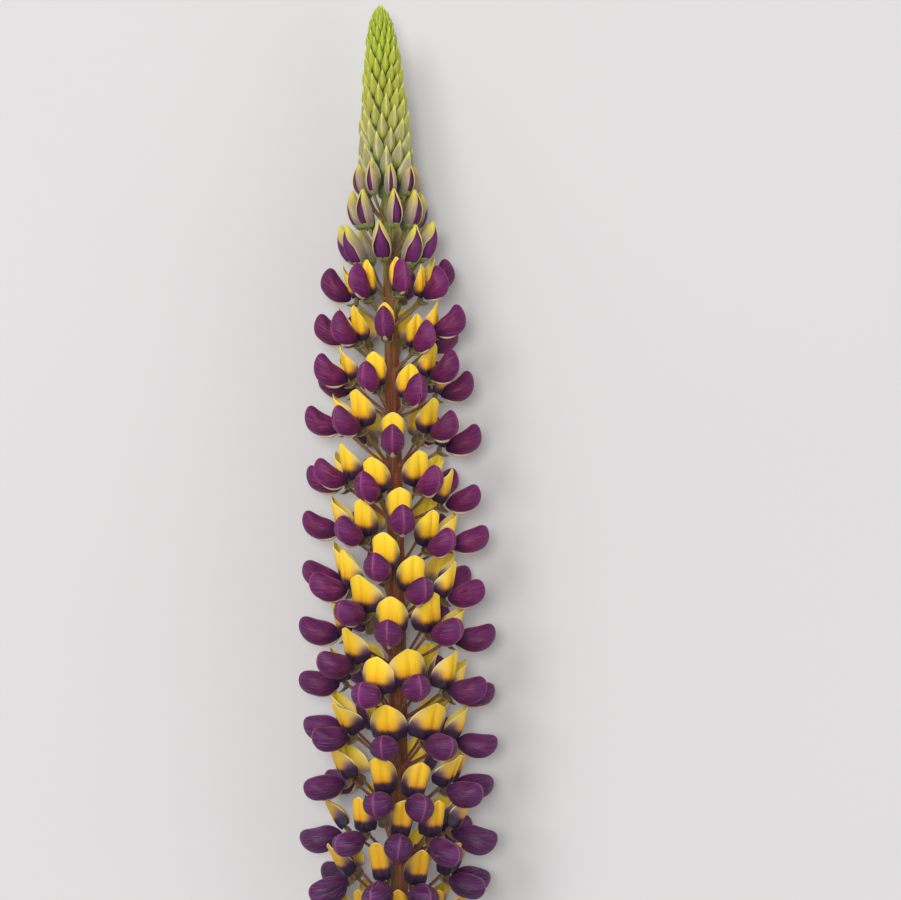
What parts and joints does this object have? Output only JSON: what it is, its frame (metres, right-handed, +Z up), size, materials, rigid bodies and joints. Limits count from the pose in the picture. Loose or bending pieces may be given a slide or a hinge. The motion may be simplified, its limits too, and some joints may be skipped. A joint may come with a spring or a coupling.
{
  "type": "lupin flower spike",
  "caption": "Cut lupin flower spike lying on its side: whorled violet and yellow pea florets on a tapering stem, under a cone of green buds.",
  "frame": {"origin": "on the surface that the spike lies on, under the middle of its box", "axes": "+Y along the spike towards its tip, +Z up from the surface, +X to the right seen from above with the tip away"},
  "size_m": [0.0824, 0.4548, 0.0768],
  "materials": {
    "stem_skin": "satin",
    "wing_petals": "satin",
    "banner_petals": "satin",
    "calyx_green": "matte",
    "folded_petals": "satin",
    "green_buds": "matte"
  },
  "bodies": {
    "root": {"flower_stem": "stem_skin", "floret_tier_01": "wing_petals", "floret_tier_02": "wing_petals", "floret_tier_03": "wing_petals", "floret_tier_04": "wing_petals", "floret_tier_05": "wing_petals", "floret_tier_06": "wing_petals", "floret_tier_07": "wing_petals", "floret_tier_08": "wing_petals", "floret_tier_09": "wing_petals", "floret_tier_10": "wing_petals", "floret_tier_11": "wing_petals", "floret_tier_12": "wing_petals", "floret_tier_13": "wing_petals", "floret_tier_14": "wing_petals", "opening_tier_1": "folded_petals", "opening_tier_2": "folded_petals", "opening_tier_3": "folded_petals", "bud_cone": "green_buds"}
  },
  "joints": []
}
